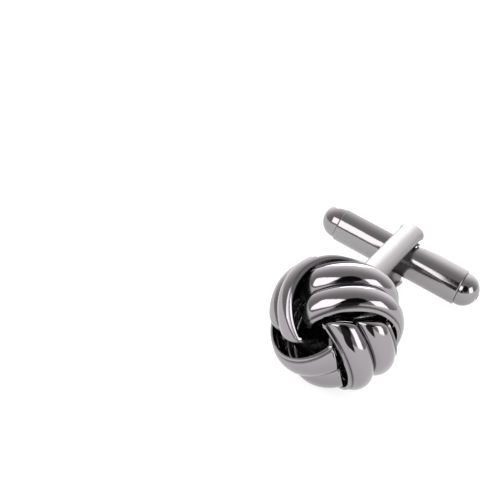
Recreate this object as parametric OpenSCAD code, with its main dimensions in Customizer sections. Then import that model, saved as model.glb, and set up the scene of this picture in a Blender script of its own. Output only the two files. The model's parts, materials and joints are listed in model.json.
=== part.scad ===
// Knot cufflink: a woven knot of four double-ridged bands, a U-shaped yoke and a turning bar.
// Drawn with the pin at the origin, +X along the post to the knot, +Y along the bar and +Z along
// the pin. It is then laid on a table as it rests by itself, with +Z up and the table at zero.

/* [Knot] */
// From the pin's axis to the middle of the knot
knot_reach = 23.5; // [22.5:0.05:24]
// Turn of the knot on its back, from +Y towards +Z
knot_turn = 151; // [0:1:359]
// Lean of the knot's axis off the post, towards -Y, as it was soldered
knot_skew = 3.7; // [0:0.1:6]
// Depth of the knot from front to back as a share of its width
knot_squash = 0.75; // [0.65:0.01:0.95]
// Number of bands in the weave
band_count = 4; // [4:1:4]

/* [Bands] */
// Radius of the arch, from the knot's middle to the groove between the ridges
arch_radius = 6.55; // [6:0.05:7]
// Lean of each arch from the knot's axis, as the latitude that it reaches
arch_lean = 51.3; // [48:0.1:54]
// Width of a band from rim to rim
band_width = 6.8; // [6.2:0.1:7]
// Rise of a band towards the rim that passes over its neighbour, for each mm across
rim_rise = 0.15; // [0:0.01:0.2]
// Height of a ridge above the groove
ridge_height = 0.85; // [0.7:0.05:1.2]
// Width of the flat lip along each rim
lip_width = 0.3; // [0.2:0.05:0.5]
// Height of the lip above the groove
lip_height = 0.05; // [0:0.05:0.3]
// Thickness of the metal
wall = 0.4; // [0.3:0.05:0.6]
// How far a band's end sinks to pass under its neighbour
end_sink = 2.1; // [1.8:0.1:2.4]
// The same for the front ends, from the first band to the fourth
front_sink = [0.9, 2.1, 2.1, 2.1]; // [0.8:0.05:2.4]
// Distance from the neighbour's rim at which the end starts to sink
sink_start = 0.8; // [0.6:0.05:1.4]
// How much sooner the front ends sink, from the first band to the fourth, as they were bent by hand
front_sooner = [0.4, 0, -0.35, 0.8]; // [-0.5:0.05:1]
// The same for the first band for each mm towards the pit
first_skew = 0.18; // [0:0.01:0.3]
// Length over which an end sinks
sink_length = 1.3; // [1.1:0.05:2.2]
// The same for the front ends, from the first band to the fourth
front_length = [1.3, 1.3, 0.9, 1.3]; // [0.8:0.05:2.2]
// Angle that each end runs on under its neighbour, past the middle of the front or back
hidden_angle = 17; // [12:1:20]
// The same for the first band's front end, whose cut edge shows beside its neighbour's rim
first_angle = 3; // [0:1:17]

/* [Yoke] */
// From the pin's axis to the face that is soldered to the knot
yoke_length = 17.55; // [16:0.05:19]
// Width of the yoke's strip
strip_width = 2.75; // [2.4:0.05:3]
// Thickness of the strip at its middle
strip_thickness = 1.0; // [0.9:0.05:1.2]
// Fall of the rounded outer faces from their middle to the strip's edges
strip_crown = 0.35; // [0.2:0.05:0.45]
// Clear width between the two arms
arm_gap = 5.8; // [5.6:0.1:6.4]
// Outer radius of the yoke's two bends
bend_radius = 1.7; // [1.3:0.1:2]
// Diameter of the round eye at the end of each arm
eye_diameter = 3.0; // [2.8:0.1:3.4]
// Diameter of the boss inside each eye
boss_diameter = 2.4; // [2:0.1:2.8]

/* [Bar] */
// Diameter of the bar's tube
tube_diameter = 4.3; // [4:0.1:4.5]
// Length of the bar over its two caps
bar_length = 20.2; // [19:0.1:22]
// Diameter of the caps
cap_diameter = 3.9; // [3.7:0.1:4]
// Straight length of a cap before its round end
cap_collar = 0.25; // [0.1:0.05:0.5]
// Diameter of the hole in each cap's tip
tip_hole = 0.8; // [0.5:0.1:1]
// Depth of the hole in each cap's tip
tip_hole_depth = 0.9; // [0.5:0.1:1.5]
// Radius of the round flats that the bosses bear on
flat_radius = 1.5; // [1.4:0.1:2.7]
// Height of the flats from the bar's axis
flat_height = 1.7; // [1.6:0.05:1.9]
// Clearance between a boss and its flat
boss_clearance = 0.1; // [0.05:0.01:0.2]
// Diameter of the pin
pin_diameter = 1.2; // [1:0.1:1.4]
// Running clearance round the pin in the bar
pin_clearance = 0.04; // [0.02:0.01:0.08]

/* [Rest] */
// Height of the pin's axis over the table
rest_height = 4.031; // [2:0.001:8]
// Tilt of the post, the knot end up
rest_tilt = 7.70; // [-20:0.01:30]
// Roll about the post, the +Y end of the bar down
rest_roll = 11.88; // [-90:0.01:90]
// Distance from the middle of the part's outline back to the pin
rest_shift = 13.445; // [10:0.005:16]

/* [Hidden] */
$fn = 64;
nickel = [0.34, 0.33, 0.33];
dark_nickel = [0.26, 0.25, 0.26];

rim_place = band_width / 2;
ridge_half = (rim_place - lip_width) / 2;
ridge_sweep = 74;
outer_steps = 8;
ridge_thinning = 0.8;
inner_half = ridge_half - ridge_thinning * wall;
inner_steps = 5;
end_step = 3.5;
middle_step = 6.3;
sink_zone = 39;
level_zone = 30;

tube_radius = tube_diameter / 2;
cap_radius = cap_diameter / 2;
tube_half = bar_length / 2 - cap_radius - cap_collar;
tube_bore = 1.55;
spigot_radius = 1.52;
spigot_length = 2.2;
tube_chamfer = 0.2;
bore_spare = 0.1;
cap_gap = 0.02;
arm_outer = arm_gap / 2 + strip_thickness;
crown_radius = (pow(strip_width / 2, 2) + pow(strip_crown, 2)) / (2 * strip_crown);
corner_radius = bend_radius - strip_thickness;
overlap = 1;
bend_x = yoke_length - bend_radius;
corner_x = yoke_length - strip_thickness - corner_radius;
pin_seat_clearance = 0.01;
pin_end_depth = 0.3;
pin_end_gap = 0.05;
pin_half = arm_gap / 2 + pin_end_depth;

// Lays what is drawn about the pin on the table.
module laid() {
    translate([-rest_shift, 0, rest_height])
        rotate([0, -rest_tilt, 0])
            rotate([-rest_roll, 0, 0])
                children();
}

// Height of a ridge over the groove, for an angle across it, up to a given half sweep.
function ridge_rise(angle) =
    ridge_height * (cos(angle) - cos(ridge_sweep)) / (1 - cos(ridge_sweep));

// One ridge's outline as [place across the band, height], from its outer foot to the next.
function ridge_arc(middle, half, foot, steps) = [
    for (i = [0 : steps])
        let (angle = ridge_sweep * (1 - 2 * i / steps))
            [middle + half * sin(angle) / sin(ridge_sweep), foot + ridge_rise(angle)]
];

// The band's cross-section: over the two ridges from rim to rim, and back along the underside.
function band_section() = concat(
    [[rim_place, arch_radius + lip_height]],
    ridge_arc(ridge_half, ridge_half, arch_radius, outer_steps),
    [for (i = [1 : outer_steps]) ridge_arc(-ridge_half, ridge_half, arch_radius, outer_steps)[i]],
    [[-rim_place, arch_radius + lip_height]],
    [[-rim_place, arch_radius + lip_height - wall]],
    [for (p = underside_arc(-ridge_half)) p],
    [for (p = underside_arc(ridge_half)) p],
    [[rim_place, arch_radius + lip_height - wall]]
);

// The underside of one ridge, in the opposite order.
function underside_arc(middle) = [
    for (i = [inner_steps : -1 : 0]) ridge_arc(middle, inner_half, arch_radius - wall, inner_steps)[i]
];

// Clear distance from the rim of the neighbour that covers the nearer end. Below zero it is under it.
function clear_of_neighbour(angle, across) =
    let (
        forward = arch_radius * sin(angle),
        axial = arch_radius * cos(angle) * sin(arch_lean) + across * cos(arch_lean),
        half_turn = angle < 90 ? 1 : -1
    )
        sin(arch_lean) * forward + half_turn * cos(arch_lean) * axial - rim_place;

// How far a point of the band has sunk, nothing over the middle of the arch.
function sunk(number, angle, across) =
    let (
        front = angle < 90,
        skew = front && number == 1 ? first_skew * across : 0,
        start = sink_start + skew + (front ? front_sooner[number - 1] : 0),
        length = front ? front_length[number - 1] : sink_length,
        depth = front ? front_sink[number - 1] : end_sink,
        share = min(1, max(0, (start - clear_of_neighbour(angle, across)) / length))
    )
        abs(angle - 90) < level_zone ? 0 : depth * (1 - cos(180 * share)) / 2;

// A point of the band in the knot's own frame, whose z axis is the knot's axis.
function band_point(number, angle, section_point) =
    let (
        across = section_point[0],
        rise = rim_rise * across * cos(angle),
        radius = section_point[1] + rise - sunk(number, angle, across),
        out = radius * cos(angle),
        x = out * cos(arch_lean) - across * sin(arch_lean),
        y = -radius * sin(angle),
        z = out * sin(arch_lean) + across * cos(arch_lean)
    )
        [x, y, knot_squash * z];

// Equal steps from one angle to another, each close to a given size.
function even_steps(first, last, size) =
    let (count = ceil((last - first) / size))
        [for (i = [0 : count]) first + (last - first) * i / count];

// Angles along the arch, closer together where the ends sink.
function arch_angles(number) = concat(
    even_steps(number == 1 ? -first_angle : -hidden_angle, sink_zone, end_step),
    even_steps(sink_zone + end_step, 180 - sink_zone - end_step, middle_step),
    even_steps(180 - sink_zone, 180 + hidden_angle, end_step)
);

// One band, bent over the knot and squashed with it.
module band(number) {
    angles = arch_angles(number);
    section = band_section();
    rings = len(angles);
    count = len(section);
    points = [for (a = angles) for (p = section) band_point(number, a, p)];
    start_face = [for (j = [count - 1 : -1 : 0]) j];
    end_face = [for (j = [0 : count - 1]) (rings - 1) * count + j];
    side_faces = [
        for (i = [0 : rings - 2])
            for (j = [0 : count - 1])
                let (
                    here = i * count + j,
                    beside = i * count + (j + 1) % count
                )
                    for (face = [[here, beside + count, here + count], [here, beside, beside + count]]) face
    ];
    translate([knot_reach, 0, 0])
        rotate([0, 0, -knot_skew])
            rotate(a = 120, v = [1, 1, 1])
                rotate([0, 0, knot_turn - 360 / band_count * (number - 1)])
                    polyhedron(points = points, faces = concat([start_face], side_faces, [end_face]));
}

// The yoke seen from the side of the bar: a U, with a small radius in its two inner corners.
module yoke_side() {
    difference() {
        union() {
            translate([-eye_diameter, -arm_outer])
                square([bend_x + eye_diameter, 2 * arm_outer]);
            translate([bend_x - overlap, bend_radius - arm_outer])
                square([bend_radius + overlap, 2 * (arm_outer - bend_radius)]);
            for (side = [-1, 1])
                translate([bend_x, side * (arm_outer - bend_radius)])
                    circle(r = bend_radius);
        }
        translate([-2 * eye_diameter, -arm_gap / 2])
            square([corner_x + 2 * eye_diameter, arm_gap]);
        translate([corner_x - overlap, corner_radius - arm_gap / 2])
            square([corner_radius + overlap, arm_gap - 2 * corner_radius]);
        for (side = [-1, 1])
            translate([corner_x, side * (arm_gap / 2 - corner_radius)])
                circle(r = corner_radius);
    }
}

// The yoke seen along the pin: a strip with a round eye at its end.
module yoke_plan() {
    circle(d = eye_diameter);
    translate([0, -strip_width / 2])
        square([yoke_length + overlap, strip_width]);
}

// The yoke seen along the post: its two outer faces are rounded across the strip.
module yoke_end() {
    for (side = [-1, 1])
        intersection() {
            translate([-eye_diameter, side > 0 ? 0 : -arm_outer])
                square([2 * eye_diameter, arm_outer]);
            translate([0, side * (arm_outer - crown_radius)])
                circle(r = crown_radius, $fn = 128);
        }
}

// The yoke, with a boss inside each eye that holds the pin and keeps the bar in the middle.
module yoke() {
    color(nickel) laid()
        difference() {
            union() {
                intersection() {
                    rotate([90, 0, 0])
                        linear_extrude(height = 2 * eye_diameter, center = true)
                            yoke_side();
                    linear_extrude(height = 4 * arm_outer, center = true)
                        yoke_plan();
                    rotate([90, 0, 90])
                        linear_extrude(height = 4 * yoke_length, center = true)
                            yoke_end();
                }
                for (side = [0, 1])
                    mirror([0, 0, side])
                        translate([0, 0, flat_height + boss_clearance])
                            cylinder(d = boss_diameter, h = arm_gap / 2 - flat_height);
            }
            for (side = [0, 1])
                mirror([0, 0, side])
                    translate([0, 0, flat_height])
                        cylinder(d = pin_diameter + 2 * pin_seat_clearance, h = pin_half - flat_height + pin_end_gap);
        }
}

module hinge_pin() {
    color(dark_nickel) laid()
        cylinder(d = pin_diameter, h = 2 * pin_half, center = true);
}

// The bar's tube, open at both ends, with round flats for the arm ends and a bore for the pin.
module bar_tube() {
    color(nickel) laid()
        difference() {
            rotate([-90, 0, 0])
                rotate_extrude()
                    polygon([
                        [0, -tube_half], [tube_radius - tube_chamfer, -tube_half],
                        [tube_radius, -tube_half + tube_chamfer], [tube_radius, tube_half - tube_chamfer],
                        [tube_radius - tube_chamfer, tube_half], [0, tube_half]
                    ]);
            for (side = [-1, 1])
                translate([0, side * tube_half, 0])
                    rotate([90, 0, 0])
                        cylinder(r = tube_bore, h = 2 * (spigot_length + bore_spare), center = true);
            for (side = [0, 1])
                mirror([0, 0, side])
                    translate([0, 0, flat_height])
                        cylinder(r = flat_radius, h = tube_radius);
            cylinder(d = pin_diameter + 2 * pin_clearance, h = 2 * tube_diameter, center = true);
        }
}

// A domed cap with a spigot in the tube and a small hole in its tip.
module bar_cap() {
    rotate([-90, 0, 0])
        difference() {
            union() {
                translate([0, 0, tube_half + cap_gap])
                    cylinder(r = cap_radius, h = cap_collar);
                translate([0, 0, tube_half - spigot_length])
                    cylinder(r = spigot_radius, h = spigot_length + cap_collar);
                translate([0, 0, tube_half + cap_collar])
                    intersection() {
                        sphere(r = cap_radius);
                        cylinder(r = 2 * cap_radius, h = 2 * cap_radius);
                    }
            }
            translate([0, 0, bar_length / 2 - tip_hole_depth])
                cylinder(d = tip_hole, h = 2 * tip_hole_depth, $fn = 32);
        }
}

module bar_cap_1() {
    color(dark_nickel) laid()
        bar_cap();
}

module bar_cap_2() {
    color(dark_nickel) laid()
        rotate([0, 0, 180])
            bar_cap();
}

module woven_band(number) {
    color(nickel) laid()
        band(number);
}

woven_band(1);  // band_1
woven_band(2);  // band_2
woven_band(3);  // band_3
woven_band(4);  // band_4
yoke();
hinge_pin();
bar_tube();
bar_cap_1();
bar_cap_2();
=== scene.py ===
# %% [markdown]
# # A knot cufflink
# The real object is a small knot of polished dark nickel, woven from four strips that each carry two
# round ridges. A U-shaped yoke is soldered to its back, and a bar with domed ends turns on a pin
# between the yoke's arms. The part comes as a fixed frame, and this lesson gives it its finished
# shapes, its metal, a floor, lights and a camera.

# %% Load the frame
import bpy
import bmesh
import json
from math import atan2, cos, hypot, pi, radians, sin
from mathutils import Matrix, Quaternion, Vector


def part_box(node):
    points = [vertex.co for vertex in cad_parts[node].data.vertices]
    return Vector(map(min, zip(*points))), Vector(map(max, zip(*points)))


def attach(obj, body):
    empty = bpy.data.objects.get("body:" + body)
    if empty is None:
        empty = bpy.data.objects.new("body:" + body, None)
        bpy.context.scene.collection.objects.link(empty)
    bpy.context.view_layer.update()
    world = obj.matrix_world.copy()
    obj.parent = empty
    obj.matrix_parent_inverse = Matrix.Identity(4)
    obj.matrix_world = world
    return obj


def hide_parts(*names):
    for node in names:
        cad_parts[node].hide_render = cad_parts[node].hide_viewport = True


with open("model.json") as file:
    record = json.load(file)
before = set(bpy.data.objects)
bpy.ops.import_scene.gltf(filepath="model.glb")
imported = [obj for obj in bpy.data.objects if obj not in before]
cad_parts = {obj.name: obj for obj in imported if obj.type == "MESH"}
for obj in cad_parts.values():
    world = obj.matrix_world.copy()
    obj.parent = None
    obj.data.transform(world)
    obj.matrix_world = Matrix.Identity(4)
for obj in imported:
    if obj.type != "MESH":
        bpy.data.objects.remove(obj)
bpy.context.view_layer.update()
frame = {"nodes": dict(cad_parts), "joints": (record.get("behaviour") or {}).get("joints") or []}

# %% [markdown]
# ## How the cufflink lies
# It is easiest to model about the pin: +X along the post, +Y along the bar, +Z along the pin. The
# finished pieces are then laid down as the frame lies, tilted and rolled on the table. One matrix
# does that for every piece, so nothing can drift from its neighbour.

# %% The pose on the table
MM = 0.001
TINY = 1e-6
SHARP_ANGLE = radians(40)
BEVEL_ANGLE = radians(60)
PIN = Vector(frame["joints"][0]["pos_m"])
REST_TILT = radians(7.70)
REST_ROLL = radians(11.88)
LAID = (
    Matrix.Translation(PIN)
    @ Matrix.Rotation(-REST_TILT, 4, "Y")
    @ Matrix.Rotation(-REST_ROLL, 4, "X")
)
print("pin at", tuple(round(c, 5) for c in PIN))


# %% Small helpers for working by hand
def start_fresh():
    """Leave edit mode and deselect everything, so that an operator can't touch an older piece."""
    if bpy.context.mode != "OBJECT":
        bpy.ops.object.mode_set(mode="OBJECT")
    bpy.ops.object.select_all(action="DESELECT")


def pick(piece):
    """Make one piece the selected and active one."""
    start_fresh()
    piece.select_set(True)
    bpy.context.view_layer.objects.active = piece
    return piece


def edit(piece, mode="VERT"):
    """Enter edit mode with nothing selected."""
    pick(piece)
    bpy.ops.object.mode_set(mode="EDIT")
    bpy.ops.mesh.select_mode(type=mode)
    bpy.ops.mesh.select_all(action="DESELECT")


def select_where(piece, test, kind="verts"):
    """Select the vertices or faces whose middle passes the test."""
    mesh = bmesh.from_edit_mesh(piece.data)
    for item in getattr(mesh, kind):
        place = item.co if kind == "verts" else item.calc_center_median()
        if test(place, item):
            item.select_set(True)
    mesh.select_flush_mode()
    bmesh.update_edit_mesh(piece.data)


def apply_modifier(piece, kind, **settings):
    """Add a modifier, set it up and apply it at once."""
    pick(piece)
    modifier = piece.modifiers.new(kind.title(), kind)
    for name, value in settings.items():
        setattr(modifier, name, value)
    bpy.ops.object.modifier_apply(modifier=modifier.name)


def cut_away(piece, tool, operation="DIFFERENCE"):
    """Cut a tool out of a piece, or weld it on, and throw the tool away."""
    apply_modifier(piece, "BOOLEAN", operation=operation, solver="EXACT", object=tool)
    bpy.data.objects.remove(tool)


def copy_of(piece, name):
    """Duplicate a piece together with its mesh."""
    pick(piece)
    bpy.ops.object.duplicate()
    bpy.context.object.name = name
    return bpy.context.object


def remember_grain(piece, grain_place):
    """Keep, at every point, the place that the polishing marks are drawn from, in millimetres."""
    grain = piece.data.attributes.new("grain_place", "FLOAT_VECTOR", "POINT")
    for vertex, mark in zip(piece.data.vertices, grain.data):
        mark.vector = grain_place(vertex.co)


def finish_piece(piece, body, node, matrix):
    """Move the mesh to its place, shade it, hang it on its body, and hide the CAD node it stands for.
    """
    piece.data.transform(matrix)
    pick(piece)
    bpy.ops.object.shade_smooth_by_angle(angle=SHARP_ANGLE)
    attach(piece, body)
    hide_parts(node)
    start_fresh()
    points = [v.co for v in piece.data.vertices]
    off = 0
    for axis, (low, high) in enumerate(zip(*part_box(node))):
        places = [p[axis] for p in points]
        off = max(off, abs(min(places) - low), abs(max(places) - high))
    print(piece.name, len(piece.data.polygons), "faces, off its solid by", round(off / MM, 2), "mm")


# %% [markdown]
# ## The section of a band
# Each strip is pressed metal with two round ridges, a fine groove between them and a flat lip along
# both rims. The section is modelled as a line: a circle cut down to the arc of one ridge, a copy for
# the other, and an extruded point at each end for the lip. A curve with a bevel could sweep it too,
# but a spun mesh keeps every point where it was put.

# %% Measures of a band
ARCH_RADIUS = 6.55 * MM
ARCH_LEAN = radians(51.3)
RIM_PLACE = 3.4 * MM
LIP_WIDTH = 0.3 * MM
LIP_RISE = 0.05 * MM
RIDGE_RISE = 0.85 * MM
RIDGE_HALF = (RIM_PLACE - LIP_WIDTH) / 2
RIDGE_SWEEP = radians(74)
WALL = 0.36 * MM
RIDGE_POINTS = 180

# %% The ridges and lips in section
start_fresh()
ridge_radius = RIDGE_HALF / sin(RIDGE_SWEEP)
ridge_stretch = RIDGE_RISE / (ridge_radius * (1 - cos(RIDGE_SWEEP)))
ridge_middle = ARCH_RADIUS - ridge_stretch * ridge_radius * cos(RIDGE_SWEEP)
bpy.ops.mesh.primitive_circle_add(
    vertices=RIDGE_POINTS, radius=ridge_radius, location=(ridge_middle, 0, RIDGE_HALF),
    rotation=(pi / 2, 0, 0),
)
section = bpy.context.object
section.name = "band_section"
section.scale.x = ridge_stretch
bpy.ops.object.transform_apply(location=True, rotation=True, scale=True)
edit(section)
select_where(section, lambda p, v: p.x < ARCH_RADIUS - TINY)
bpy.ops.mesh.delete(type="VERT")
bpy.ops.mesh.select_all(action="SELECT")
bpy.ops.mesh.duplicate_move(TRANSFORM_OT_translate={"value": (0, 0, -2 * RIDGE_HALF)})
bpy.ops.mesh.select_all(action="SELECT")
bpy.ops.mesh.remove_doubles(threshold=5 * TINY)
for side in (1, -1):
    bpy.ops.mesh.select_all(action="DESELECT")
    select_where(section, lambda p, v: side * p.z > 2 * RIDGE_HALF - TINY)
    bpy.ops.mesh.extrude_region_move(
        TRANSFORM_OT_translate={"value": (LIP_RISE, 0, side * LIP_WIDTH)}
    )
start_fresh()
print("section points:", len(section.data.vertices))

# %% [markdown]
# ## How the ends dive
# Near a neighbour's rim the strip dives and passes under it. How far a point sinks depends on its
# distance from that rim. Each front end dives in its own way, probably because the ends were bent by
# hand: the first and last bands sooner, the third later and more steeply. Towards one end of its
# arch each strip also tips a little, so that the rim on top of its neighbour stands proud.

# %% How far a point sinks
END_SINK = 2.1 * MM
SINK_START = 0.8 * MM
SINK_LENGTH = 1.3 * MM
FRONT_SINK = {1: 0.9 * MM, 2: END_SINK, 3: END_SINK, 4: END_SINK}
FRONT_SOONER = {1: 0.4 * MM, 2: 0, 3: -0.35 * MM, 4: 0.8 * MM}
FRONT_LENGTH = {1: SINK_LENGTH, 2: SINK_LENGTH, 3: 0.9 * MM, 4: SINK_LENGTH}
FIRST_SKEW = 0.18
FAR_LIP = 2.6 * MM
FAR_LIP_LATER = 1.2
RIM_RISE = 0.15
LEVEL_ZONE = radians(30)


def arch_angle(point):
    """The angle along the arch, zero in the front and a half turn at the back."""
    angle = -atan2(point.y, point.x)
    return angle + 2 * pi if angle < -pi / 2 else angle


def sunk(point, number):
    """The depth at a point of the arch, from its distance to the rim of the neighbour over it."""
    angle = arch_angle(point)
    if abs(angle - pi / 2) < LEVEL_ZONE:
        return 0
    forward = ARCH_RADIUS * sin(angle)
    axial = ARCH_RADIUS * cos(angle) * sin(ARCH_LEAN) + point.z * cos(ARCH_LEAN)
    front = angle < pi / 2
    half_turn = 1 if front else -1
    clear = sin(ARCH_LEAN) * forward + half_turn * cos(ARCH_LEAN) * axial - RIM_PLACE
    start = SINK_START + (FRONT_SOONER[number] if front else 0)
    if front and number == 1:
        start += FIRST_SKEW * point.z + FAR_LIP_LATER * min(0, point.z + FAR_LIP)
    share = min(1, max(0, (start - clear) / (FRONT_LENGTH[number] if front else SINK_LENGTH)))
    return (FRONT_SINK[number] if front else END_SINK) * (1 - cos(pi * share)) / 2


# %% [markdown]
# ## Tarnish and painted shade in the hollows
# The knot is blackened all over and then polished, so some black stays where the wheel can't reach.
# The black put inside the strips, where they dive, and as a hair line in every groove is partly that
# blackening and partly painted shade, since these hollows lie in shade. The amount is kept as a
# number on each point, and the metal's shader reads it. The inside gets a material of its own from
# Solidify.

# %% How tarnished and shaded a point is
# Depths where the dives turn black: partly the knot's blackening, partly painted shade under the
# neighbouring strip.
FRONT_TARNISH_AND_SHADE = {1: (0.03, 0.25), 2: (0.9, 1.5), 3: (1.5, 2.0), 4: (0.03, 0.25)}
BACK_TARNISH_AND_SHADE = (0.2, 0.6)
# The hair line in each groove is painted shade in the crease as well as blackening.
GROOVE_REACH = 0.13 * MM
GROOVE_TARNISH_AND_SHADE = 0.75
GROOVES = (0, 2 * RIDGE_HALF, -2 * RIDGE_HALF)


def tarnish_and_shade_at(point, depth, number):
    """From 0, polished bright, to 1, black; the black is blackening and painted shade together."""
    low, high = FRONT_TARNISH_AND_SHADE[number] if arch_angle(point) < pi / 2 else BACK_TARNISH_AND_SHADE
    dive = min(1, max(0, (depth / MM - low) / (high - low)))
    nearest = min(abs(point.z - place) for place in GROOVES)
    groove = GROOVE_TARNISH_AND_SHADE * max(0, 1 - nearest / GROOVE_REACH)
    return max(dive * dive * (3 - 2 * dive), groove)


# %% [markdown]
# ## From section to arch
# The strip runs over the knot as an arch and on underneath its neighbours. Spin turns the section
# about the arch's axis, which here is Z, a little past the half turn at each end. The dive is painted
# as a vertex group, and a Cast modifier in its cylinder form pulls the painted points straight
# towards the axis. A second one, with a negative factor, pushes the proud rim out. Solidify gives the
# sheet its wall, and a small bevel softens the cut edges so that they catch the light. The first
# band's front end is cut off short, with a painted highlight: a bright strip along the cut.

# %% Spin, sink and thicken a band
HIDDEN_ANGLE = radians(17)
FIRST_ANGLE = radians(3)
# How far along the arch the painted highlight on the cut reaches.
PAINTED_HIGHLIGHT_ANGLE = radians(1.6)
ARCH_STEPS = 192
CUT_EDGE = 0.06 * MM


def bent_band(number):
    """One strip of the weave, from the section line to a finished wall."""
    piece = copy_of(section, f"knot_band_{number}")
    front_angle = FIRST_ANGLE if number == 1 else HIDDEN_ANGLE
    piece.rotation_euler.z = front_angle
    bpy.ops.object.transform_apply(rotation=True)
    edit(piece)
    bpy.ops.mesh.select_all(action="SELECT")
    bpy.ops.mesh.spin(
        steps=ARCH_STEPS, angle=pi + HIDDEN_ANGLE + front_angle, center=(0, 0, 0), axis=(0, 0, 1)
    )
    bpy.ops.mesh.select_all(action="SELECT")
    bpy.ops.mesh.remove_doubles(threshold=TINY)
    bpy.ops.mesh.normals_make_consistent(inside=False)
    start_fresh()
    remember_grain(piece, lambda p: (arch_angle(p) * ARCH_RADIUS / MM, p.z / MM, 0))
    # Blackening and painted shade together, kept as one number per point.
    tarnish_and_shade = piece.data.attributes.new("tarnish_and_shade", "FLOAT", "POINT")
    for vertex, amount in zip(piece.data.vertices, tarnish_and_shade.data):
        amount.value = tarnish_and_shade_at(vertex.co, sunk(vertex.co, number), number)
    groups = {"sinking": 1, "rising": -1}
    for group in groups:
        piece.vertex_groups.new(name=group)
    for vertex in piece.data.vertices:
        move = sunk(vertex.co, number) - RIM_RISE * vertex.co.z * cos(arch_angle(vertex.co))
        group = piece.vertex_groups["sinking" if move > 0 else "rising"]
        group.add([vertex.index], abs(move) / hypot(vertex.co.x, vertex.co.y), "REPLACE")
    for group, factor in groups.items():
        apply_modifier(
            piece, "CAST", cast_type="CYLINDER", use_x=True, use_y=True, use_z=False,
            factor=factor, size=1e-7, use_radius_as_size=False, vertex_group=group,
        )
    outward = sum(f.normal.x * f.center.x + f.normal.y * f.center.y for f in piece.data.polygons)
    if outward < 0:
        edit(piece)
        bpy.ops.mesh.select_all(action="SELECT")
        bpy.ops.mesh.flip_normals()
        start_fresh()
    apply_modifier(
        piece, "SOLIDIFY", thickness=WALL, offset=-1, use_even_offset=False,
        material_offset=1, material_offset_rim=2,
    )
    apply_modifier(
        piece, "BEVEL", width=CUT_EDGE, segments=2, limit_method="ANGLE", angle_limit=BEVEL_ANGLE
    )
    # A painted highlight: a bright strip along the first band's cut.
    if number == 1:
        for face in piece.data.polygons:
            if arch_angle(face.center) < PAINTED_HIGHLIGHT_ANGLE - FIRST_ANGLE and face.material_index == 0:
                face.material_index = 2
    piece.vertex_groups.clear()
    print(piece.name, len(piece.data.polygons), "faces")
    return piece


# %% [markdown]
# ## The metal
# Dark nickel plate is a mirror with a grey, faintly lilac colour, and what makes it read as metal is
# what it reflects. Fine marks of the polishing wheel run along each strip, drawn by a stretched noise
# in the roughness and in a faint bump. Where the tarnish number shows, the colour turns black and
# rough with a few bright specks, as on blackened metal; that black is partly the knot's blackening and
# partly painted shade in the hollows. Both surfaces could share one material, but the inside of a
# strip is painted black all over, as blackening and as shade, so it gets a simpler one.

# %% Colours of the tarnish and the painted shade
# The black serves both the knot's blackening and painted shade in the hollows.
BLACK_OF_TARNISH_AND_SHADE = (0.010, 0.009, 0.010, 1)
SPECK = (0.16, 0.15, 0.16, 1)
BLACK_ROUGHNESS = 0.42


def shader_node(tree, kind, **values):
    """Add a shader node and set its sockets by name."""
    node = tree.nodes.new(kind)
    for name, value in values.items():
        node.inputs[name.replace("_", " ")].default_value = value
    return node


def speckled_black(tree, place):
    """Black with fine specks where the metal shows through, and its link for a colour."""
    grit = shader_node(tree, "ShaderNodeTexNoise", Scale=7.0, Detail=3.0, Roughness=0.7)
    tree.links.new(place, grit.inputs["Vector"])
    ramp = tree.nodes.new("ShaderNodeValToRGB")
    ramp.color_ramp.elements[0].position = 0.56
    ramp.color_ramp.elements[0].color = BLACK_OF_TARNISH_AND_SHADE
    ramp.color_ramp.elements[1].position = 0.74
    ramp.color_ramp.elements[1].color = SPECK
    tree.links.new(grit.outputs["Fac"], ramp.inputs["Fac"])
    return ramp.outputs["Color"]


def metal_start(name):
    """A fresh fully metallic material with the place that its marks are drawn from."""
    material = bpy.data.materials.new(name)
    material.use_nodes = True
    tree = material.node_tree
    tree.nodes["Principled BSDF"].inputs["Metallic"].default_value = 1.0
    place = tree.nodes.new("ShaderNodeAttribute")
    place.attribute_name = "grain_place"
    return material, tree, place.outputs["Vector"]


# %% Blackened metal with painted shade
def blackened_shaded_metal(name):
    """The inside of the strips: rough and black, with specks; the black is blackening and painted
    shade together.
    """
    material, tree, place = metal_start(name)
    shader = tree.nodes["Principled BSDF"]
    shader.inputs["Roughness"].default_value = BLACK_ROUGHNESS
    tree.links.new(speckled_black(tree, place), shader.inputs["Base Color"])
    return material


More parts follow.
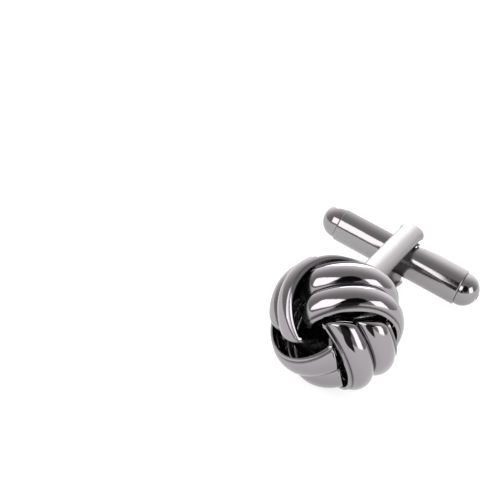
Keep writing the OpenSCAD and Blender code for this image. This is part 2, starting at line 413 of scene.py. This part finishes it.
# %% Polished plate
def polished_plate(name, color, roughness, spread, marks, with_tarnish_and_shade=True):
    """Polished plate with wheel marks along it, blackened where the number for tarnish and painted
    shade says so.
    """
    material, tree, place = metal_start(name)
    link = tree.links.new
    shader = tree.nodes["Principled BSDF"]
    along = shader_node(tree, "ShaderNodeMapping", Scale=(0.3, 5.0, 5.0))
    link(place, along.inputs["Vector"])
    wheel = shader_node(tree, "ShaderNodeTexNoise", Scale=1.7, Detail=5.0, Roughness=0.6)
    link(along.outputs["Vector"], wheel.inputs["Vector"])
    tarnish_and_shade = tree.nodes.new("ShaderNodeAttribute")
    tarnish_and_shade.attribute_name = "tarnish_and_shade" if with_tarnish_and_shade else "no tarnish"
    # Mixes in the black: blackening and painted shade.
    blacken_and_shade = tree.nodes.new("ShaderNodeMixRGB")
    blacken_and_shade.inputs["Color1"].default_value = (*color, 1)
    link(tarnish_and_shade.outputs["Fac"], blacken_and_shade.inputs["Fac"])
    link(speckled_black(tree, place), blacken_and_shade.inputs["Color2"])
    link(blacken_and_shade.outputs["Color"], shader.inputs["Base Color"])
    polish = shader_node(
        tree, "ShaderNodeMapRange", From_Min=0.3, From_Max=0.7,
        To_Min=roughness, To_Max=roughness + spread,
    )
    link(wheel.outputs["Fac"], polish.inputs["Value"])
    roughen = shader_node(tree, "ShaderNodeMapRange", To_Max=BLACK_ROUGHNESS)
    link(tarnish_and_shade.outputs["Fac"], roughen.inputs["Value"])
    link(polish.outputs["Result"], roughen.inputs["To Min"])
    link(roughen.outputs["Result"], shader.inputs["Roughness"])
    bump = shader_node(tree, "ShaderNodeBump", Strength=marks, Distance=0.02 * MM)
    link(wheel.outputs["Fac"], bump.inputs["Height"])
    link(bump.outputs["Normal"], shader.inputs["Normal"])
    return material


def wear(piece, *metals):
    """Put one or more materials on a piece."""
    piece.data.materials.clear()
    for metal in metals:
        piece.data.materials.append(metal)


knot_metal = polished_plate("polished dark nickel, knot", (0.30, 0.287, 0.297), 0.05, 0.05, 0.12)
yoke_metal = polished_plate("satin dark nickel, yoke", (0.27, 0.262, 0.264), 0.40, 0.08, 0.15)
bar_metal = polished_plate("polished dark nickel, bar", (0.29, 0.28, 0.287), 0.08, 0.06, 0.10)
pin_metal = polished_plate("turned steel, pin", (0.4, 0.4, 0.4), 0.25, 0.1, 0.1)
# Painted highlight along the first band's cut end.
cut_edge_highlight_metal = polished_plate("bright cut edge", (0.75, 0.73, 0.74), 0.5, 0.1, 0.0, with_tarnish_and_shade=False)
# The inside of the strips, painted black as blackening and as shade.
inner_metal = blackened_shaded_metal("blackened inside with painted shade")
print("materials:", [m.name for m in bpy.data.materials])

# %% [markdown]
# ## Four bands for the weave
# Each band is made by itself, because the front ends differ. A band is leaned over, the knot is
# squashed a little along its own axis, and the four are turned by quarter turns. The whole knot
# then faces along the post, a few degrees off it. An array could place four copies, but only of one
# and the same shape.

# %% Lean, squash and place
KNOT_REACH = 23.5 * MM
KNOT_TURN = 151
KNOT_SKEW = radians(3.7)
KNOT_SQUASH = 0.75
lean = Matrix.Rotation(-ARCH_LEAN, 4, "Y")
squash = Matrix.Diagonal((1, 1, KNOT_SQUASH, 1))
axes_round = Matrix.Rotation(radians(120), 4, Vector((1, 1, 1)))
facing = Matrix.Rotation(-KNOT_SKEW, 4, "Z") @ axes_round
for number in (1, 2, 3, 4):
    piece = bent_band(number)
    wear(piece, knot_metal, inner_metal, cut_edge_highlight_metal)
    turn = Matrix.Rotation(radians(KNOT_TURN - 90 * (number - 1)), 4, "Z")
    place = LAID @ Matrix.Translation((KNOT_REACH, 0, 0)) @ facing @ turn @ squash @ lean
    finish_piece(piece, "body", f"band_{number}", place)
bpy.data.objects.remove(section)

# %% [markdown]
# ## The yoke
# The yoke is one strip of half-round wire bent to a U, with a round eye at each end. The half section
# is a line again: an arc for the crown, then a rounded shoulder down to the flat inner face. Spin
# makes the domed end of one eye, extrude draws out the straight arm, another spin makes the bend, and
# a mirror gives the other arm.

# %% Measures of the yoke
YOKE_LENGTH = 17.55 * MM
ARM_INNER = 2.9 * MM
STRIP_THICKNESS = 1.0 * MM
ARM_OUTER = ARM_INNER + STRIP_THICKNESS
STRIP_HALF = 1.375 * MM
STRIP_CROWN = 0.35 * MM
EYE_RADIUS = 1.5 * MM
BEND_RADIUS = 1.7 * MM
BEND_X = YOKE_LENGTH - BEND_RADIUS
SHOULDER = 0.42 * MM
INNER_EDGE = 0.12 * MM
EYE_END = 0.9 * MM
CROWN_POINTS = 240
SHOULDER_STEPS = 8
EYE_STEPS = 40
BEND_STEPS = 24
crown_radius = (STRIP_HALF**2 + STRIP_CROWN**2) / (2 * STRIP_CROWN)

# %% The half section of an eye
start_fresh()
bpy.ops.mesh.primitive_circle_add(
    vertices=CROWN_POINTS, radius=crown_radius, location=(0, 0, ARM_OUTER - crown_radius),
    rotation=(0, pi / 2, 0),
)
yoke = bpy.context.object
yoke.name = "yoke_strip"
bpy.ops.object.transform_apply(location=True, rotation=True)
edit(yoke)
crown_edge = EYE_RADIUS - SHOULDER
select_where(yoke, lambda p, v: p.z < ARM_OUTER / 2 or p.y < -TINY or p.y > crown_edge)
bpy.ops.mesh.delete(type="VERT")
mesh = bmesh.from_edit_mesh(yoke.data)
shoulder_top = max(v.co.y for v in mesh.verts)
shoulder_height = min(v.co.z for v in mesh.verts)
crown_slope = shoulder_top / crown_radius
shoulder_wide = EYE_RADIUS - shoulder_top
select_where(yoke, lambda p, v: p.y > shoulder_top - TINY)
last = Vector((0, shoulder_top, shoulder_height))
outline = []
for step in range(1, SHOULDER_STEPS + 1):
    turn = pi / 2 * step / SHOULDER_STEPS
    outline.append(Vector((
        0,
        shoulder_top + shoulder_wide * sin(turn),
        shoulder_height - crown_slope * shoulder_wide * sin(turn) - SHOULDER * (1 - cos(turn)),
    )))
outline.append(Vector((0, EYE_RADIUS, ARM_INNER + INNER_EDGE)))
outline.append(Vector((0, EYE_RADIUS - INNER_EDGE, ARM_INNER)))
outline.append(Vector((0, 0, ARM_INNER)))
for point in outline:
    bpy.ops.mesh.extrude_region_move(TRANSFORM_OT_translate={"value": point - last})
    last = point
start_fresh()
print("half section:", len(yoke.data.vertices), "points")

# %% Spin the eye, draw out the arm, spin the bend
edit(yoke)
bpy.ops.mesh.select_all(action="SELECT")
bpy.ops.mesh.spin(steps=EYE_STEPS, angle=pi, center=(0, 0, 0), axis=(0, 0, -1))
bpy.ops.mesh.select_all(action="SELECT")
bpy.ops.mesh.remove_doubles(threshold=TINY)
for end, width in ((EYE_END, STRIP_HALF / EYE_RADIUS), (BEND_X, 1)):
    bpy.ops.mesh.select_all(action="DESELECT")
    mesh = bmesh.from_edit_mesh(yoke.data)
    reach = max(v.co.x for v in mesh.verts)
    select_where(yoke, lambda p, v: p.x > reach - TINY)
    bpy.ops.mesh.extrude_region_move(TRANSFORM_OT_translate={"value": (end - reach, 0, 0)})
    bpy.ops.transform.resize(value=(1, width, 1), center_override=(end, 0, 0))
bpy.ops.mesh.select_all(action="DESELECT")
select_where(yoke, lambda p, v: p.x > BEND_X - TINY)
bpy.ops.mesh.spin(
    steps=BEND_STEPS, angle=pi / 2, center=(BEND_X, 0, ARM_OUTER - BEND_RADIUS), axis=(0, -1, 0)
)
bpy.ops.mesh.select_all(action="DESELECT")
select_where(yoke, lambda p, v: abs(p.z - (ARM_OUTER - BEND_RADIUS)) < TINY and p.x > BEND_X)
bpy.ops.mesh.extrude_region_move(
    TRANSFORM_OT_translate={"value": (0, 0, -(ARM_OUTER - BEND_RADIUS))}
)
start_fresh()
reached = max(v.co.x for v in yoke.data.vertices)
print("yoke reaches", round(reached / MM, 2), "mm")

# %% Mirror the arm and add the bosses
BOSS_RADIUS = 1.2 * MM
BOSS_FOOT = 1.8 * MM
BOSS_TOP = 3.1 * MM
BOSS_EDGE = 0.08 * MM
apply_modifier(
    yoke, "MIRROR", use_axis=(False, False, True), use_clip=True, merge_threshold=TINY
)
edit(yoke)
bpy.ops.mesh.select_all(action="SELECT")
bpy.ops.mesh.remove_doubles(threshold=TINY)
bpy.ops.mesh.normals_make_consistent(inside=False)
start_fresh()
for side in (1, -1):
    bpy.ops.mesh.primitive_cylinder_add(
        vertices=96, radius=BOSS_RADIUS, depth=BOSS_TOP - BOSS_FOOT,
        location=(0, 0, side * (BOSS_TOP + BOSS_FOOT) / 2),
    )
    boss = bpy.context.object
    bpy.ops.object.transform_apply(location=True)
    apply_modifier(
        boss, "BEVEL", width=BOSS_EDGE, segments=3, limit_method="ANGLE", angle_limit=BEVEL_ANGLE
    )
    cut_away(yoke, boss, "UNION")
remember_grain(yoke, lambda p: p / MM)
wear(yoke, yoke_metal)
finish_piece(yoke, "body", "yoke", LAID)

# %% [markdown]
# ## The bar
# The bar is a tube that turns on the pin. Two round flats are milled where the yoke's bosses bear on
# it. A cylinder is hollowed at both ends by inset and extrude for the caps, its edges are bevelled,
# and the flats and the pin's bore are cut with booleans, as a mill and a drill would.

# %% Measures of the bar
TUBE_RADIUS = 2.15 * MM
BAR_HALF = 10.1 * MM
CAP_RADIUS = 1.95 * MM
CAP_COLLAR = 0.25 * MM
TUBE_HALF = BAR_HALF - CAP_RADIUS - CAP_COLLAR
FLAT_HEIGHT = 1.7 * MM
FLAT_RADIUS = 1.5 * MM
BORE_RADIUS = 0.64 * MM
SOCKET_WALL = 0.55 * MM
SOCKET_DEPTH = 2.4 * MM
TUBE_EDGE = 0.16 * MM
MILL_LENGTH = 2 * MM
DRILL_LENGTH = 6 * MM

# %% The tube
start_fresh()
bpy.ops.mesh.primitive_cylinder_add(
    vertices=192, radius=TUBE_RADIUS, depth=2 * TUBE_HALF, rotation=(pi / 2, 0, 0)
)
tube = bpy.context.object
tube.name = "turning_bar"
bpy.ops.object.transform_apply(rotation=True)
edit(tube, "FACE")
for side in (1, -1):
    bpy.ops.mesh.select_all(action="DESELECT")
    select_where(tube, lambda p, f: side * p.y > TUBE_HALF - TINY, "faces")
    bpy.ops.mesh.inset(thickness=SOCKET_WALL)
    bpy.ops.mesh.extrude_region_move(TRANSFORM_OT_translate={"value": (0, -side * SOCKET_DEPTH, 0)})
start_fresh()
apply_modifier(
    tube, "BEVEL", width=TUBE_EDGE, segments=4, limit_method="ANGLE", angle_limit=BEVEL_ANGLE
)
for side in (1, -1):
    bpy.ops.mesh.primitive_cylinder_add(
        vertices=160, radius=FLAT_RADIUS, depth=MILL_LENGTH,
        location=(0, 0, side * (FLAT_HEIGHT + MILL_LENGTH / 2)),
    )
    cut_away(tube, bpy.context.object)
bpy.ops.mesh.primitive_cylinder_add(vertices=64, radius=BORE_RADIUS, depth=DRILL_LENGTH)
cut_away(tube, bpy.context.object)
remember_grain(tube, lambda p: Vector((p.y, p.x, p.z)) / MM)
wear(tube, bar_metal)
finish_piece(tube, "bar", "bar_tube", LAID)

# %% [markdown]
# ## The caps
# Each cap is half a ball on a short collar, with a spigot that goes into the tube and a small hole in
# its tip. Half a ball is drawn out by extruding its open edge and narrowing it for the spigot. One cap
# is modelled and copied for the other end.

# %% One cap, modelled along +Y
COLLAR_EDGE = 0.05 * MM
COLLAR_SHARE = 0.975
SPIGOT_SHARE = 0.78
SPIGOT_LENGTH = 2.1 * MM
TIP_HOLE_RADIUS = 0.4 * MM
TIP_HOLE_DEPTH = 0.9 * MM
start_fresh()
bpy.ops.mesh.primitive_uv_sphere_add(
    segments=144, ring_count=72, radius=CAP_RADIUS, rotation=(pi / 2, 0, 0)
)
cap = bpy.context.object
cap.name = "bar_end_1"
bpy.ops.object.transform_apply(rotation=True)
edit(cap)
select_where(cap, lambda p, v: p.y < -TINY)
bpy.ops.mesh.delete(type="VERT")
cap_steps = (
    (CAP_COLLAR - COLLAR_EDGE, 1),
    (COLLAR_EDGE, COLLAR_SHARE),
    (0, SPIGOT_SHARE),
    (SPIGOT_LENGTH, 1),
)
for drop, share in cap_steps:
    bpy.ops.mesh.select_all(action="DESELECT")
    select_where(cap, lambda p, v: v.is_boundary)
    bpy.ops.mesh.extrude_region_move(TRANSFORM_OT_translate={"value": (0, -drop, 0)})
    bpy.ops.transform.resize(value=(share, 1, share), center_override=(0, 0, 0))
bpy.ops.mesh.edge_face_add()
bpy.ops.mesh.select_all(action="SELECT")
bpy.ops.mesh.normals_make_consistent(inside=False)
start_fresh()
bpy.ops.mesh.primitive_cylinder_add(
    vertices=48, radius=TIP_HOLE_RADIUS, depth=2 * TIP_HOLE_DEPTH,
    location=(0, CAP_RADIUS, 0), rotation=(pi / 2, 0, 0),
)
cut_away(cap, bpy.context.object)
cap.data.transform(Matrix.Translation((0, TUBE_HALF + CAP_COLLAR, 0)))
remember_grain(cap, lambda p: Vector((p.y, p.x, p.z)) / MM)
wear(cap, bar_metal)
other_cap = copy_of(cap, "bar_end_2")
finish_piece(cap, "bar", "bar_cap_1", LAID)
finish_piece(other_cap, "bar", "bar_cap_2", LAID @ Matrix.Rotation(pi, 4, "Z"))

# %% [markdown]
# ## The pin
# The pin is a plain turned rod whose CAD shape is right, so it stays and only gets a better metal. The
# hidden CAD nodes get theirs too, which keeps the frame whole.

# %% Metal on the frame's own nodes
for name, node in frame["nodes"].items():
    wear(node, pin_metal if name == "hinge_pin" else bar_metal)
print("nodes dressed:", len(frame["nodes"]))

# %% [markdown]
# ## The table
# A plain white sheet under the cufflink, large enough to fill the view from every side. It is a
# light table, so it glows a little and softens the shadow on it.

# %% Floor
TABLE_SIZE = 3
PAPER = (0.35, 0.35, 0.35, 1)
GLOW = 0.8
start_fresh()
bpy.ops.mesh.primitive_plane_add(size=TABLE_SIZE, location=(0, 0, 0))
floor = bpy.context.object
floor.name = "pale_table"
paper = bpy.data.materials.new("white paper")
paper.use_nodes = True
paper_shader = paper.node_tree.nodes["Principled BSDF"]
paper_shader.inputs["Base Color"].default_value = PAPER
paper_shader.inputs["Emission Color"].default_value = (1, 1, 1, 1)
paper_shader.inputs["Emission Strength"].default_value = GLOW
paper_shader.inputs["Roughness"].default_value = 0.9
paper_shader.inputs["Specular IOR Level"].default_value = 0.1
floor.data.materials.append(paper)

# %% [markdown]
# ## Light
# Polished metal shows its surroundings, so they are built as in a product studio: a grey tent all
# round, bright soft boxes on both sides of the camera and behind, and a dark gap beside the camera.
# A broad light overhead brightens the table, and is kept out of the reflections. Where they stand was
# found by trial, from the reflections.


# %% Soft boxes
def heading(azimuth, elevation):
    """The direction towards a place in the studio, from its compass angle and its height angle."""
    a, e = radians(azimuth), radians(elevation)
    return Vector((cos(a) * cos(e), sin(a) * cos(e), sin(e)))


def soft_box(name, azimuth, elevation, width, height, brightness, distance=0.8, glossy=True):
    """A rectangular light that looks at the cufflink, with the brightness of its face."""
    direction = heading(azimuth, elevation)
    data = bpy.data.lights.new(name, "AREA")
    data.shape = "RECTANGLE"
    data.size, data.size_y = width, height
    data.energy = brightness * pi * width * height
    box = bpy.data.objects.new(name, data)
    bpy.context.scene.collection.objects.link(box)
    box.location = direction * distance
    box.rotation_mode = "QUATERNION"
    box.rotation_quaternion = direction.to_track_quat("Z", "Y")
    box.visible_camera = False
    box.visible_glossy = glossy


BOX_FACE = 2.9
soft_box("box right of the camera", 75, 16, 0.40, 0.46, BOX_FACE)
soft_box("box left of the camera", -17, 29, 0.66, 0.52, BOX_FACE)
soft_box("box behind", -162, 24, 0.46, 0.60, BOX_FACE)
soft_box("light over the table", 0, 90, 1.2, 1.2, 1.0, distance=1.0, glossy=False)

# %% The tent, brighter behind the cufflink and with a dark gap
TENT_DARKEST = 0.42
TENT_RISE = 1.6
TENT_CURVE = 3
GAP_HEADING = radians(32)
GAP_HEIGHT = radians(30)
GAP_HALF_WIDE = radians(20)
GAP_HALF_HIGH = radians(21)
NO_LIMIT = 1e4
world = bpy.data.worlds.new("grey tent")
bpy.context.scene.world = world
world.use_nodes = True
tent = world.node_tree
where = tent.nodes.new("ShaderNodeTexCoord")
back = tent.nodes.new("ShaderNodeVectorMath")
back.operation = "DOT_PRODUCT"
back.inputs[1].default_value = heading(-165, 20)
tent.links.new(where.outputs["Generated"], back.inputs[0])
rise = shader_node(tent, "ShaderNodeMapRange", From_Min=-0.3, From_Max=0.9)
tent.links.new(back.outputs["Value"], rise.inputs["Value"])
curve = tent.nodes.new("ShaderNodeMath")
curve.operation = "POWER"
curve.inputs[1].default_value = TENT_CURVE
tent.links.new(rise.outputs["Result"], curve.inputs[0])
cloth = shader_node(
    tent, "ShaderNodeMapRange", To_Min=TENT_DARKEST, To_Max=TENT_DARKEST + TENT_RISE
)
tent.links.new(curve.outputs["Value"], cloth.inputs["Value"])
turned = tent.nodes.new("ShaderNodeMapping")
turned.vector_type = "TEXTURE"
turned.inputs["Rotation"].default_value = (0, -GAP_HEIGHT, GAP_HEADING)
turned.inputs["Scale"].default_value = (NO_LIMIT, sin(GAP_HALF_WIDE), sin(GAP_HALF_HIGH))
tent.links.new(where.outputs["Generated"], turned.inputs["Vector"])
away = tent.nodes.new("ShaderNodeVectorMath")
away.operation = "LENGTH"
tent.links.new(turned.outputs["Vector"], away.inputs[0])
gap = shader_node(tent, "ShaderNodeMapRange", From_Min=0.95, From_Max=1.1, To_Min=0.01)
tent.links.new(away.outputs["Value"], gap.inputs["Value"])
tent.links.new(cloth.outputs["Result"], gap.inputs["To Max"])
tent.links.new(gap.outputs["Result"], tent.nodes["Background"].inputs["Strength"])
tent.nodes["Background"].inputs["Color"].default_value = (1.0, 0.985, 0.99, 1)
bpy.context.scene.view_settings.view_transform = "Standard"

# %% [markdown]
# ## A black flag
# The black card in front of the cufflink draws the dark patches in the ridges, as photographers do
# with a flag. Only the reflections see it, so it hides nothing and throws no shadow.

# %% Flag
FLAG_PLACE = Vector((36, 13.5, 10.5)) * MM
FLAG_WIDTH = 14 * MM
FLAG_HEIGHT = 19 * MM
BLACK_CARD = (0.01, 0.01, 0.01, 1)
bpy.ops.mesh.primitive_plane_add(
    size=1, location=FLAG_PLACE, rotation=(pi / 2, 0, GAP_HEADING + pi / 2)
)
flag = bpy.context.object
flag.name = "black_flag"
flag.scale = (FLAG_WIDTH, FLAG_HEIGHT, 1)
black = bpy.data.materials.new("black card")
black.use_nodes = True
card_shader = black.node_tree.nodes["Principled BSDF"]
card_shader.inputs["Base Color"].default_value = BLACK_CARD
card_shader.inputs["Roughness"].default_value = 1.0
flag.data.materials.append(black)
flag.visible_camera = False
flag.visible_diffuse = False
flag.visible_shadow = False

# %% [markdown]
# ## Camera
# A long lens from 25 cm away, so that the cufflink is seen almost without perspective.

# %% Camera
camera_data = bpy.data.cameras.new("camera")
camera_data.sensor_width = 36
camera_data.lens = 158.4
camera_data.clip_start = 0.01
camera_data.clip_end = 10
camera = bpy.data.objects.new("camera", camera_data)
bpy.context.scene.collection.objects.link(camera)
camera.location = (0.202971, 0.051752, 0.127581)
camera.rotation_mode = "QUATERNION"
camera.rotation_quaternion = Quaternion((0.453962, 0.326149, 0.383176, 0.735338))
bpy.context.scene.camera = camera
